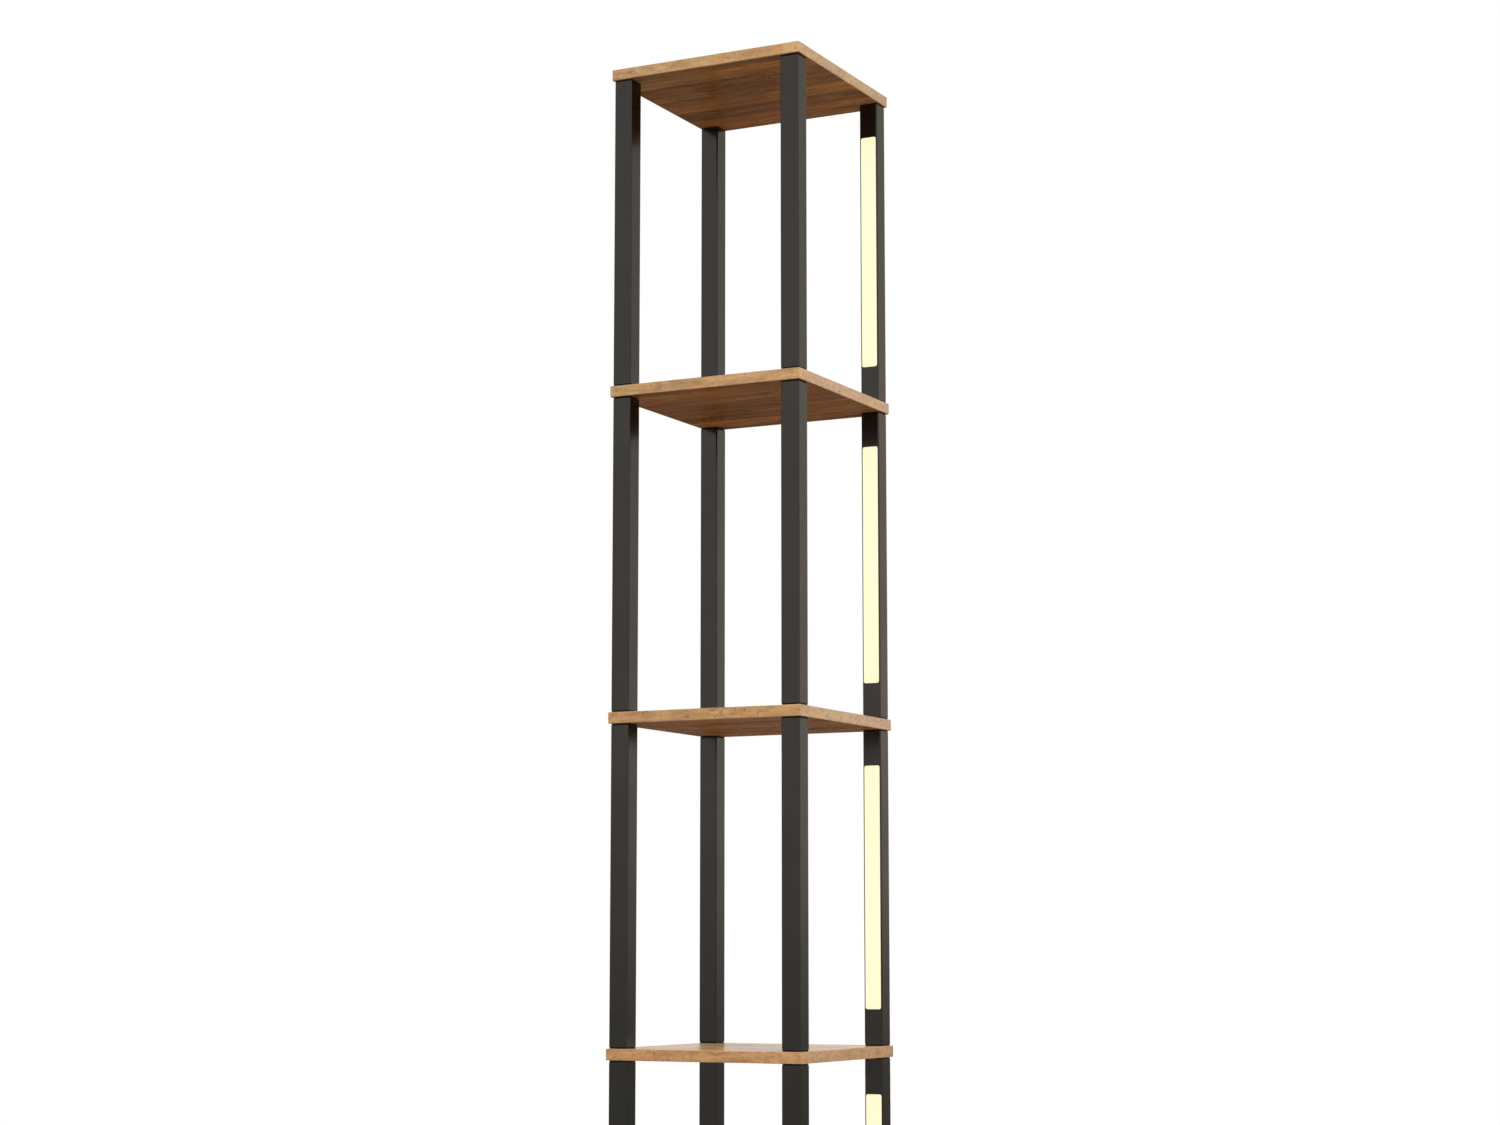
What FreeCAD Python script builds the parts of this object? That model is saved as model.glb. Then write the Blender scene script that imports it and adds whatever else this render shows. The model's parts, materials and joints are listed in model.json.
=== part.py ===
import FreeCAD, Part
import math
import os
import Sketcher

# Lighted shelving tower: square oak boards stacked on square steel tubes, one post lit from inside.
# X runs right along the front edge, Y runs to the back and Z runs up from the floor.
# The origin is on the floor, under the middle of the boards. Sizes are in millimetres.

SECTIONS = 4
LEFT, RIGHT, FRONT, BACK = -1, 1, -1, 1
PLAIN_POSTS = {"front_left": (LEFT, FRONT), "front_right": (RIGHT, FRONT), "back_left": (LEFT, BACK)}
LIGHT_POST = (RIGHT, BACK)
CORNERS = {**PLAIN_POSTS, "back_right": LIGHT_POST}

SIZES = {
    # Whole unit
    "unit_height": 1890.0,
    # Boards
    "shelf_side": 300.0,
    "shelf_thickness": 16.0,
    "shelf_edge_bevel": 0.7,
    # Posts, tubes that stand between two boards
    "post_side": 28.0,
    "post_wall": 1.5,
    "post_corner": 2.0,
    "post_inset": 3.0,
    # End plugs, whose flange is set back from the tube's faces and leaves a shadow line
    "flange_thickness": 2.0,
    "flange_setback": 1.0,
    "plug_depth": 9.0,
    "plug_fit": 0.1,
    # Threads that join the posts through the boards
    "thread_diameter": 8.0,
    "thread_fit": 0.05,
    "thread_engagement": 9.0,
    "board_hole_fit": 0.25,
    "insert_diameter": 12.0,
    "insert_length": 12.0,
    "insert_fit": 0.05,
    # Light window and its diffuser
    "window_margin": 2.0,
    "window_end": 51.5,
    "window_corner": 3.0,
    "diffuser_fit": 0.15,
    "diffuser_tab": 6.0,
    "diffuser_back": 1.5,
    # Channel that carries the light strip
    "carrier_fit": 1.0,
    "carrier_wall": 1.5,
    "carrier_overrun": 10.0,
    # Light strip
    "strip_width": 10.0,
    "strip_thickness": 1.2,
    "strip_overrun": 2.0,
    "chip_side": 3.0,
    "chip_rise": 0.8,
    "chip_end": 12.0,
    "chip_count": 12,
    # Leads inside the light post
    "lead_diameter": 2.4,
    "lead_overlap": 6.0,
    "lead_hole_fit": 0.4,
    # Power inlet on the back of the lowest light post
    "inlet_rise": 8.0,
    "inlet_rim": 14.0,
    "inlet_rim_rise": 1.5,
    "inlet_barrel": 11.0,
    "inlet_depth": 9.0,
    "inlet_bore": 6.4,
    "inlet_bore_depth": 9.0,
    "inlet_pin": 2.0,
    "inlet_pin_length": 7.5,
    "inlet_fit": 0.1,
    "inlet_tag_width": 4.0,
    "inlet_tag_rise": 7.0,
    "inlet_nut_corners": 16.0,
    "inlet_nut_height": 2.5,
    # Levelling feet and their lock nuts
    "foot_diameter": 26.0,
    "foot_height": 8.0,
    "foot_bevel": 2.0,
    "stem_reach": 18.0,
    "nut_height": 6.0,
    "nut_corners": 15.0,
}

# Places and sizes that follow from the driving ones
POST_INNER = "(Sizes.post_side - 2 * Sizes.post_wall)"
POST_OFFSET = "(Sizes.shelf_side / 2 - Sizes.post_inset - Sizes.post_side / 2)"
POST_HALF = "(Sizes.post_side / 2)"
LOWEST_BOARD = "(Sizes.foot_height + Sizes.nut_height)"
PITCH = f"((Sizes.unit_height - {LOWEST_BOARD} - Sizes.shelf_thickness) / {SECTIONS})"
SECTION_CLEAR = f"({PITCH} - Sizes.shelf_thickness)"
TUBE_LENGTH = f"({SECTION_CLEAR} - 2 * Sizes.flange_thickness)"
THREAD_BORE = "(Sizes.thread_diameter + 2 * Sizes.thread_fit)"
BOARD_BORE = "(Sizes.thread_diameter + 2 * Sizes.board_hole_fit)"
INSERT_BORE = "(Sizes.insert_diameter + 2 * Sizes.insert_fit)"
JOINT_STUD = "(Sizes.shelf_thickness + Sizes.thread_engagement)"
LEAD_BORE = "(Sizes.lead_diameter + 2 * Sizes.lead_hole_fit)"
WINDOW_WIDTH = "(Sizes.post_side - 2 * Sizes.window_margin)"
WINDOW_LENGTH = f"({SECTION_CLEAR} - 2 * Sizes.window_end)"
DIFFUSER_WIDTH = f"({WINDOW_WIDTH} - 2 * Sizes.diffuser_fit)"
DIFFUSER_LENGTH = f"({WINDOW_LENGTH} - 2 * Sizes.diffuser_fit)"
CARRIER_WIDTH = f"({POST_INNER} - 2 * Sizes.carrier_fit)"
CARRIER_LENGTH = f"({WINDOW_LENGTH} + 2 * Sizes.carrier_overrun)"
CARRIER_DEPTH = f"({POST_INNER} - Sizes.diffuser_back)"
STRIP_LENGTH = f"({WINDOW_LENGTH} + 2 * Sizes.strip_overrun)"
STRIP_END = "(Sizes.window_end - Sizes.strip_overrun)"
STRIP_BACK = "(Sizes.post_side / 2 - Sizes.post_wall - Sizes.carrier_wall)"
LEAD_OFFSET = f"({STRIP_BACK} - Sizes.strip_thickness - Sizes.lead_diameter / 2)"
INLET_HEIGHT = "(Sizes.stem_reach + Sizes.inlet_rise)"
INLET_HOLE = "(Sizes.inlet_barrel + 2 * Sizes.inlet_fit)"

UPSIDE_DOWN = FreeCAD.Rotation(FreeCAD.Vector(0, 1, 0), 180)
FACING_BACK = FreeCAD.Rotation(FreeCAD.Vector(1, 0, 0), -90)
QUARTER_TURN = math.pi / 2
NEAR = 1e-6

doc = FreeCAD.newDocument("lighted_shelving_tower")
sheet = doc.addObject("Spreadsheet::Sheet", "Sizes")
for row, (name, size) in enumerate(SIZES.items(), 1):
    sheet.set(f"A{row}", name)
    sheet.set(f"B{row}", str(size))
    sheet.setAlias(f"B{row}", name)
doc.recompute()

pieces = []


def section_floor(section):
    """Height of the board's top face under a section, with section 1 the highest."""
    return f"({LOWEST_BOARD} + Sizes.shelf_thickness + {SECTIONS - section} * {PITCH})"


def board_underside(level):
    """Height of a board's underside, with level 1 the top board."""
    return f"({LOWEST_BOARD} + {SECTIONS + 1 - level} * {PITCH})"


def post_place(corner):
    """X and Y of a post's middle."""
    return tuple(f"({side} * {POST_OFFSET})" for side in corner)


def value(expression):
    return float(sheet.evalExpression(expression))


def place(piece, x, y, z, turn=FreeCAD.Rotation()):
    piece.Placement = FreeCAD.Placement(FreeCAD.Vector(), turn)
    for axis, expression in zip("xyz", (x, y, z)):
        piece.setExpression(f"Placement.Base.{axis}", expression)


def new_piece(kind, label):
    piece = doc.addObject(kind, label)
    piece.Label = label
    return piece


def new_sketch(body, plane="XY_Plane", x="0", y="0", z="0"):
    """A sketch on one of the body's own planes, moved by x, y and z in the plane's own directions."""
    sketch = body.newObject("Sketcher::SketchObject", "sketch")
    support = next(found for found in body.Origin.OriginFeatures if found.Role == plane)
    sketch.AttachmentSupport = [(support, "")]
    sketch.MapMode = "FlatFace"
    for axis, expression in zip("xyz", (x, y, z)):
        sketch.setExpression(f"AttachmentOffset.Base.{axis}", expression)
    return sketch


def bind(sketch, expression, kind, *points):
    index = sketch.addConstraint(Sketcher.Constraint(kind, *points, value(expression)))
    sketch.setExpression(f"Constraints[{index}]", expression)


def circle(sketch, diameter, x=None, y=None):
    """A circle at the sketch's origin, or with its middle at x, y."""
    if x is None:
        middle = FreeCAD.Vector()
    else:
        middle = FreeCAD.Vector(value(x), value(y), 0)
    ring = Part.Circle(middle, FreeCAD.Vector(0, 0, 1), value(diameter) / 2)
    index = sketch.addGeometry(ring)
    bind(sketch, diameter, "Diameter", index)
    if x is None:
        sketch.addConstraint(Sketcher.Constraint("Coincident", index, 3, -1, 1))
    else:
        bind(sketch, x, "DistanceX", -1, 1, index, 3)
        bind(sketch, y, "DistanceY", -1, 1, index, 3)


def rectangle(sketch, width, height):
    """A rectangle with its middle at the sketch's origin."""
    x, y = value(width) / 2, value(height) / 2
    corners = [FreeCAD.Vector(*corner, 0) for corner in ((-x, -y), (x, -y), (x, y), (-x, y))]
    first = sketch.GeometryCount
    for turn in range(4):
        sketch.addGeometry(Part.LineSegment(corners[turn], corners[(turn + 1) % 4]))
    for turn in range(4):
        following = first + (turn + 1) % 4
        sketch.addConstraint(Sketcher.Constraint("Coincident", first + turn, 2, following, 1))
        level = "Vertical" if turn % 2 else "Horizontal"
        sketch.addConstraint(Sketcher.Constraint(level, first + turn))
    sketch.addConstraint(Sketcher.Constraint("Symmetric", first, 1, first + 2, 1, -1, 1))
    bind(sketch, width, "DistanceX", first, 1, first, 2)
    bind(sketch, height, "DistanceY", first + 1, 1, first + 1, 2)


def rounded_rectangle(sketch, width, height, radius):
    """A rectangle with its middle at the sketch's origin and an arc at each corner."""
    x, y, r = value(width) / 2, value(height) / 2, value(radius)
    sides = (
        ((r - x, -y), (x - r, -y)),
        ((x, r - y), (x, y - r)),
        ((x - r, y), (r - x, y)),
        ((-x, y - r), (-x, r - y)),
    )
    middles = ((x - r, r - y), (x - r, y - r), (r - x, y - r), (r - x, r - y))
    side, arc = sketch.GeometryCount, sketch.GeometryCount + 4
    for start, end in sides:
        sketch.addGeometry(Part.LineSegment(FreeCAD.Vector(*start, 0), FreeCAD.Vector(*end, 0)))
    for turn, middle in enumerate(middles):
        ring = Part.Circle(FreeCAD.Vector(*middle, 0), FreeCAD.Vector(0, 0, 1), r)
        sketch.addGeometry(Part.ArcOfCircle(ring, (turn - 1) * QUARTER_TURN, turn * QUARTER_TURN))
    for turn in range(4):
        following = side + (turn + 1) % 4
        sketch.addConstraint(Sketcher.Constraint("Tangent", side + turn, 2, arc + turn, 1))
        sketch.addConstraint(Sketcher.Constraint("Tangent", arc + turn, 2, following, 1))
        level = "Vertical" if turn % 2 else "Horizontal"
        sketch.addConstraint(Sketcher.Constraint(level, side + turn))
        if turn:
            sketch.addConstraint(Sketcher.Constraint("Equal", arc, arc + turn))
    sketch.addConstraint(Sketcher.Constraint("Symmetric", arc, 3, arc + 2, 3, -1, 1))
    bind(sketch, width, "DistanceX", side + 3, 1, side + 1, 1)
    bind(sketch, height, "DistanceY", side, 1, side + 2, 1)
    bind(sketch, radius, "Radius", arc)


def pad(body, sketch, length, downwards=False):
    feature = body.newObject("PartDesign::Pad", "pad")
    feature.Profile = sketch
    feature.setExpression("Length", length)
    feature.Reversed = downwards
    return feature


def pocket(body, sketch, depth=None, along_normal=False):
    """Cuts the sketch into the body, right through it if no depth is given."""
    doc.recompute()
    before = body.Shape.Volume
    feature = body.newObject("PartDesign::Pocket", "pocket")
    feature.Profile = sketch
    if depth is None:
        feature.Type = "ThroughAll"
    else:
        feature.setExpression("Length", depth)
    feature.Reversed = along_normal
    doc.recompute()
    if before - body.Shape.Volume < NEAR:
        raise RuntimeError(f"a cut in {body.Label} removes nothing")
    return feature


def bevel(body, feature, size, height=None):
    """Bevels the feature's edges, all of them or only those that lie level at a height."""
    doc.recompute()
    edges = []
    for number, edge in enumerate(feature.Shape.Edges, 1):
        box = edge.BoundBox
        if height is None or max(abs(end - value(height)) for end in (box.ZMin, box.ZMax)) < NEAR:
            edges.append(f"Edge{number}")
    bevelled = body.newObject("PartDesign::Chamfer", "bevel")
    bevelled.Base = (feature, edges)
    bevelled.setExpression("Size", size)


def copies(label, source, places):
    """Separate like pieces that share one file; each place is x, y, z and a turn."""
    links = []
    for x, y, z, turn in places:
        link = doc.addObject("App::Link", "copy")
        link.LinkedObject = source
        place(link, x, y, z, turn)
        links.append(link)
    group = new_piece("Part::Compound", label)
    group.Links = links
    pieces.append(group)


def make_board(label, level, bore, bore_depth=None, lead_hole=False):
    """A square board with a bore over each post, and a hole for the lead beside the light post's bore."""
    body = new_piece("PartDesign::Body", label)
    outline = new_sketch(body)
    rectangle(outline, "Sizes.shelf_side", "Sizes.shelf_side")
    slab = pad(body, outline, "Sizes.shelf_thickness")
    bevel(body, slab, "Sizes.shelf_edge_bevel")
    bores = new_sketch(body)
    for corner in CORNERS.values():
        circle(bores, bore, *post_place(corner))
    pocket(body, bores, bore_depth, along_normal=True)
    if lead_hole:
        x, y = post_place(LIGHT_POST)
        hole = new_sketch(body)
        circle(hole, LEAD_BORE, x, f"{y} + {LEAD_OFFSET}")
        pocket(body, hole, along_normal=True)
    place(body, "0", "0", board_underside(level))
    pieces.append(body)


def make_tube(label, corner, section):
    """A square tube that stands between the flanges of its two end plugs."""
    body = new_piece("PartDesign::Body", label)
    profile = new_sketch(body)
    rounded_rectangle(profile, "Sizes.post_side", "Sizes.post_side", "Sizes.post_corner")
    rectangle(profile, POST_INNER, POST_INNER)
    pad(body, profile, TUBE_LENGTH)
    place(body, *post_place(corner), f"{section_floor(section)} + Sizes.flange_thickness")
    pieces.append(body)
    return body


def make_light_tube(label, section, inlet=False):
    """A tube with a round-cornered window in its front wall, and the inlet's hole in its back wall."""
    body = make_tube(label, LIGHT_POST, section)
    window = new_sketch(body, "XZ_Plane", y=f"{TUBE_LENGTH} / 2", z=POST_HALF)
    rounded_rectangle(window, WINDOW_WIDTH, WINDOW_LENGTH, "Sizes.window_corner")
    pocket(body, window, POST_HALF)
    if inlet:
        height = f"{INLET_HEIGHT} - Sizes.flange_thickness"
        hole = new_sketch(body, "XZ_Plane", y=height, z=f"-{POST_HALF}")
        circle(hole, INLET_HOLE)
        pocket(body, hole, POST_HALF, along_normal=True)


def make_plug(label, stud_length=None, lead_slot=False):
    """An end plug: a square flange, a square shank that fills the tube, and a stud or a threaded bore."""
    body = new_piece("PartDesign::Body", label)
    shank_side = f"({POST_INNER} - 2 * Sizes.plug_fit)"
    flange_side = "(Sizes.post_side - 2 * Sizes.flange_setback)"
    flange = new_sketch(body)
    rectangle(flange, flange_side, flange_side)
    pad(body, flange, "Sizes.flange_thickness")
    shank = new_sketch(body, z="Sizes.flange_thickness")
    rectangle(shank, shank_side, shank_side)
    pad(body, shank, "Sizes.plug_depth")
    thread = new_sketch(body)
    if stud_length is None:
        circle(thread, THREAD_BORE)
        pocket(body, thread, along_normal=True)
    else:
        circle(thread, "Sizes.thread_diameter")
        pad(body, thread, stud_length, downwards=True)
    if lead_slot:
        slot_floor = f"({LEAD_OFFSET} - {LEAD_BORE} / 2)"
        slot = new_sketch(body, y=f"({POST_HALF} + {slot_floor}) / 2")
        rectangle(slot, LEAD_BORE, f"{POST_HALF} - {slot_floor}")
        pocket(body, slot, along_normal=True)
    return body


def lower_end(corner, section):
    """Place and turn of the plug in a tube's lower end."""
    return *post_place(corner), section_floor(section), FreeCAD.Rotation()


def upper_end(corner, section):
    """Place and turn of the plug in a tube's upper end, whose stud points up."""
    return *post_place(corner), f"{section_floor(section)} + {SECTION_CLEAR}", UPSIDE_DOWN


def make_insert(label):
    body = new_piece("PartDesign::Body", label)
    ring = new_sketch(body)
    circle(ring, "Sizes.insert_diameter")
    circle(ring, THREAD_BORE)
    pad(body, ring, "Sizes.insert_length")
    return body


def at_corners(z):
    return [(*post_place(corner), z, FreeCAD.Rotation()) for corner in CORNERS.values()]


def make_diffuser(label, section):
    """A milky panel, flush in the window, on a back that reaches behind the wall at both ends."""
    body = new_piece("PartDesign::Body", label)
    front = new_sketch(body, "XZ_Plane", z=POST_HALF)
    corner = "Sizes.window_corner - Sizes.diffuser_fit"
    rounded_rectangle(front, DIFFUSER_WIDTH, DIFFUSER_LENGTH, corner)
    pad(body, front, "Sizes.post_wall", downwards=True)
    back = new_sketch(body, "XZ_Plane", z=f"{POST_HALF} - Sizes.post_wall")
    rectangle(back, DIFFUSER_WIDTH, f"{WINDOW_LENGTH} + 2 * Sizes.diffuser_tab")
    pad(body, back, "Sizes.diffuser_back", downwards=True)
    place(body, *post_place(LIGHT_POST), f"{section_floor(section)} + {SECTION_CLEAR} / 2")
    pieces.append(body)


def make_carrier(label, section):
    """A channel on the tube's back wall, whose two legs hold the diffuser in its window."""
    body = new_piece("PartDesign::Body", label)
    block = new_sketch(body, "XZ_Plane", z=f"-{POST_INNER} / 2")
    rectangle(block, CARRIER_WIDTH, CARRIER_LENGTH)
    pad(body, block, CARRIER_DEPTH)
    trough = new_sketch(body, "XZ_Plane", z=f"-{STRIP_BACK}")
    rectangle(trough, f"{CARRIER_WIDTH} - 2 * Sizes.carrier_wall", CARRIER_LENGTH)
    pocket(body, trough, CARRIER_DEPTH, along_normal=True)
    place(body, *post_place(LIGHT_POST), f"{section_floor(section)} + {SECTION_CLEAR} / 2")
    pieces.append(body)


def make_strip(label, section):
    """A circuit board with a row of light chips on its front."""
    body = new_piece("PartDesign::Body", label)
    board = new_sketch(body, "XZ_Plane", z=f"-{STRIP_BACK}")
    rectangle(board, "Sizes.strip_width", STRIP_LENGTH)
    pad(body, board, "Sizes.strip_thickness")
    chip_row = f"({STRIP_LENGTH} - 2 * Sizes.chip_end)"
    chip_base = f"-{STRIP_BACK} + Sizes.strip_thickness"
    lowest = new_sketch(body, "XZ_Plane", y=f"-{chip_row} / 2", z=chip_base)
    rectangle(lowest, "Sizes.chip_side", "Sizes.chip_side")
    chip = pad(body, lowest, "Sizes.chip_rise")
    row = body.newObject("PartDesign::LinearPattern", "row")
    row.Originals = [chip]
    row.Direction = (lowest, ["V_Axis"])
    row.setExpression("Length", chip_row)
    row.setExpression("Occurrences", "Sizes.chip_count")
    body.Tip = row
    place(body, *post_place(LIGHT_POST), f"{section_floor(section)} + {SECTION_CLEAR} / 2")
    pieces.append(body)


def make_lead(label, start, length):
    """A straight lead that lies on the strips' faces at its ends."""
    lead = new_piece("Part::Cylinder", label)
    lead.setExpression("Radius", "Sizes.lead_diameter / 2")
    lead.setExpression("Height", length)
    x, y = post_place(LIGHT_POST)
    place(lead, x, f"{y} + {LEAD_OFFSET}", start)
    pieces.append(lead)


def inlet_place(depth):
    """Place and turn of a piece that stands on the inlet's axis, at a depth behind the post's middle."""
    x, y = post_place(LIGHT_POST)
    return x, f"{y} + {depth}", f"{section_floor(SECTIONS)} + {INLET_HEIGHT}", FACING_BACK


def make_inlet(label):
    """A socket for a low-voltage plug: rim, barrel, bore, centre pin and a tag that the lead ends on."""
    body = new_piece("PartDesign::Body", label)
    rim = new_sketch(body)
    circle(rim, "Sizes.inlet_rim")
    pad(body, rim, "Sizes.inlet_rim_rise")
    barrel = new_sketch(body)
    circle(barrel, "Sizes.inlet_barrel")
    pad(body, barrel, "Sizes.post_wall + Sizes.inlet_depth", downwards=True)
    tag_reach = "(Sizes.inlet_tag_rise - Sizes.inlet_bore / 2)"
    tag_middle = f"-(Sizes.inlet_bore / 2 + {tag_reach} / 2)"
    tag = new_sketch(body, y=tag_middle, z=f"{LEAD_OFFSET} - {POST_HALF} - Sizes.lead_diameter / 2")
    rectangle(tag, "Sizes.inlet_tag_width", tag_reach)
    pad(body, tag, "Sizes.lead_diameter")
    bore = new_sketch(body, z="Sizes.inlet_rim_rise")
    circle(bore, "Sizes.inlet_bore")
    pocket(body, bore, "Sizes.inlet_bore_depth")
    pin = new_sketch(body, z="Sizes.inlet_rim_rise - Sizes.inlet_bore_depth")
    circle(pin, "Sizes.inlet_pin")
    pad(body, pin, "Sizes.inlet_pin_length")
    place(body, *inlet_place(POST_HALF))
    pieces.append(body)


def make_nut(corners, height, bore):
    """A hexagon nut that stands on the origin."""
    prism = doc.addObject("Part::Prism", "hexagon")
    prism.Polygon = 6
    prism.setExpression("Circumradius", f"{corners} / 2")
    hole = doc.addObject("Part::Cylinder", "bore")
    hole.setExpression("Radius", f"{bore} / 2")
    for solid in (prism, hole):
        solid.setExpression("Height", height)
    nut = doc.addObject("Part::Cut", "nut")
    nut.Base = prism
    nut.Tool = hole
    return nut


def make_inlet_nut(label):
    """The nut that holds the inlet from inside the tube."""
    nut = make_nut("Sizes.inlet_nut_corners", "Sizes.inlet_nut_height", INLET_HOLE)
    copies(label, nut, [inlet_place(f"{POST_INNER} / 2 - Sizes.inlet_nut_height")])


def make_lock_nuts(label):
    """Nuts that clamp the lowest board up against the posts."""
    nut = make_nut("Sizes.nut_corners", "Sizes.nut_height", THREAD_BORE)
    copies(label, nut, at_corners("Sizes.foot_height"))


def make_foot(label, corner):
    """A levelling foot: a round pad and a stem that screws up into the post's lowest plug."""
    body = new_piece("PartDesign::Body", label)
    outline = new_sketch(body)
    circle(outline, "Sizes.foot_diameter")
    disc = pad(body, outline, "Sizes.foot_height")
    bevel(body, disc, "Sizes.foot_bevel", "Sizes.foot_height")
    stem = new_sketch(body, z="Sizes.foot_height")
    circle(stem, "Sizes.thread_diameter")
    stem_length = "(Sizes.nut_height + Sizes.shelf_thickness + Sizes.stem_reach)"
    pad(body, stem, stem_length)
    place(body, *post_place(corner), "0")
    pieces.append(body)


# Boards, from the top one down to the one on the feet
make_board("top_shelf", 1, INSERT_BORE, "Sizes.insert_length")
for level in range(2, SECTIONS + 1):
    make_board(f"shelf_{level}", level, BOARD_BORE, lead_hole=True)
make_board("bottom_shelf", SECTIONS + 1, BOARD_BORE)

# Posts, section by section from the top
for section in range(1, SECTIONS + 1):
    for name, corner in PLAIN_POSTS.items():
        make_tube(f"post_{name}_{section}", corner, section)
    make_light_tube(f"light_post_{section}", section, inlet=section == SECTIONS)

# Plugs that join the posts: a socket in each lower end, and a stud in each upper end, through the board
plain = PLAIN_POSTS.values()
joined = range(2, SECTIONS + 1)
socket = make_plug("socket_plug")
stud = make_plug("stud_plug", JOINT_STUD)
for section in range(1, SECTIONS + 1):
    copies(f"socket_plugs_{section}", socket, [lower_end(corner, section) for corner in plain])
for section in joined:
    copies(f"stud_plugs_{section}", stud, [upper_end(corner, section) for corner in plain])
top_stud = make_plug("top_stud_plug", "Sizes.insert_length")
copies("top_stud_plugs", top_stud, [upper_end(corner, 1) for corner in CORNERS.values()])
lit_socket = make_plug("lit_socket_plug", lead_slot=True)
lit_stud = make_plug("lit_stud_plug", JOINT_STUD, lead_slot=True)
copies("light_socket_plugs", lit_socket, [lower_end(LIGHT_POST, section) for section in (1, *joined)])
copies("light_stud_plugs", lit_stud, [upper_end(LIGHT_POST, section) for section in joined])

# Threaded inserts in the top board
copies("top_shelf_inserts", make_insert("insert"), at_corners(board_underside(1)))

# Light in each section of the lit post, and the leads that join the strips
for section in range(1, SECTIONS + 1):
    make_diffuser(f"diffuser_{section}", section)
    make_carrier(f"light_channel_{section}", section)
    make_strip(f"light_strip_{section}", section)
for section in range(1, SECTIONS):
    start = f"{board_underside(section + 1)} - {STRIP_END} - Sizes.lead_overlap"
    span = f"2 * ({STRIP_END} + Sizes.lead_overlap) + Sizes.shelf_thickness"
    make_lead(f"jumper_lead_{section}", start, span)
tag_top = f"({INLET_HEIGHT} + Sizes.inlet_tag_rise)"
feed_span = f"{STRIP_END} + Sizes.lead_overlap - {tag_top}"
make_lead("feed_lead", f"{section_floor(SECTIONS)} + {tag_top}", feed_span)
make_inlet("power_inlet")
make_inlet_nut("inlet_nut")

# Feet under the posts
make_lock_nuts("foot_lock_nuts")
for name, corner in CORNERS.items():
    make_foot(f"foot_{name}", corner)

doc.recompute()
for item in doc.Objects:
    if "Invalid" in item.State or "Error" in item.State:
        raise RuntimeError(f"{item.Label} failed: {item.State}")
for piece in pieces:
    if piece.Shape.isNull() or not piece.Shape.isValid():
        raise RuntimeError(f"{piece.Label} has no valid shape")

os.makedirs("parts", exist_ok=True)
for piece in pieces:
    piece.Shape.exportStep(f"parts/{piece.Label}.step")
print(len(pieces), "pieces written")
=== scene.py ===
import json
import math
from types import SimpleNamespace
from typing import NamedTuple

import bmesh
import bpy
from mathutils import Matrix, Vector


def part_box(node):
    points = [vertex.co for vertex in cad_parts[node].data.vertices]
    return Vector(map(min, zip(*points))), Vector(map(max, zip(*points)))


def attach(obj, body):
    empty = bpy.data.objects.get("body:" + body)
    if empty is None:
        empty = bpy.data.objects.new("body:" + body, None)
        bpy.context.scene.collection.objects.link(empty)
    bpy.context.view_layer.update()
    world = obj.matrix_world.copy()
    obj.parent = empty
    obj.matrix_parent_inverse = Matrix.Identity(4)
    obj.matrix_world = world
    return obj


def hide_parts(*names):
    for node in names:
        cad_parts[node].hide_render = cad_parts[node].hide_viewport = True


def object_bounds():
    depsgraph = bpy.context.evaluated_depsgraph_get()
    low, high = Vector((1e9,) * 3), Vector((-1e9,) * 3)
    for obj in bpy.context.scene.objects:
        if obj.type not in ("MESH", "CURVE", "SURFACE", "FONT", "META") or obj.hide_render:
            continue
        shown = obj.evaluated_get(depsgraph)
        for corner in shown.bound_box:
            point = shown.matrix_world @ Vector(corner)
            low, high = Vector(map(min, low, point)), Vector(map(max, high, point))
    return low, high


# Lighted shelving tower: oak boards on graphite posts, with the back right post lit from inside.
# Lengths are in metres. X runs right along the front edge, Y to the back and Z up from the floor.

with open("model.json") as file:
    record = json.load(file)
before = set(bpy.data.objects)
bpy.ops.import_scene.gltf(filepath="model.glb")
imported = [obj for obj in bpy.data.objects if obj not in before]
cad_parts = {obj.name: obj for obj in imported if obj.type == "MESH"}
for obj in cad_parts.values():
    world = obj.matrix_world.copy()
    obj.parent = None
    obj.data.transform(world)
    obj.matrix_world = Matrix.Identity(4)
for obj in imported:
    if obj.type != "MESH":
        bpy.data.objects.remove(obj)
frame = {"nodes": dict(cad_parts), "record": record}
cad_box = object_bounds()
nodes = frame["nodes"]
scene = bpy.context.scene
scene.view_settings.view_transform = "Standard"

TOWER = "tower"
SECTIONS = range(1, 5)
MIDDLE_BOARDS = range(2, 5)
PLAIN_CORNERS = ("front_left", "front_right", "back_left")
LIT_CORNER = "back_right"
CORNERS = (*PLAIN_CORNERS, LIT_CORNER)
LOWEST_LIGHT_POST = "light_post_4"

# Places taken from the frame
shelf_low, shelf_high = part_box("shelf_2")
board_depth = shelf_high.z - shelf_low.z
board_pitch = shelf_low.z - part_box("shelf_3")[0].z
tower_top = cad_box[1].z
feet = {corner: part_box(f"foot_{corner}") for corner in CORNERS}
post_middles = {corner: (low + high) / 2 for corner, (low, high) in feet.items()}
nut_low, nut_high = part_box("inlet_nut")
inlet_mouth = (nut_low + nut_high) / 2
inlet_mouth.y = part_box(LOWEST_LIGHT_POST)[1].y

# Boards
BOARD_EDGE_ROUND = 0.0012
BOARD_EDGE_STEPS = 3
BOARD_BORE = 0.0085
INSERT_BORE = 0.0121
INSERT_DEPTH = 0.012
LEAD_BORE = 0.0032

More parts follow.
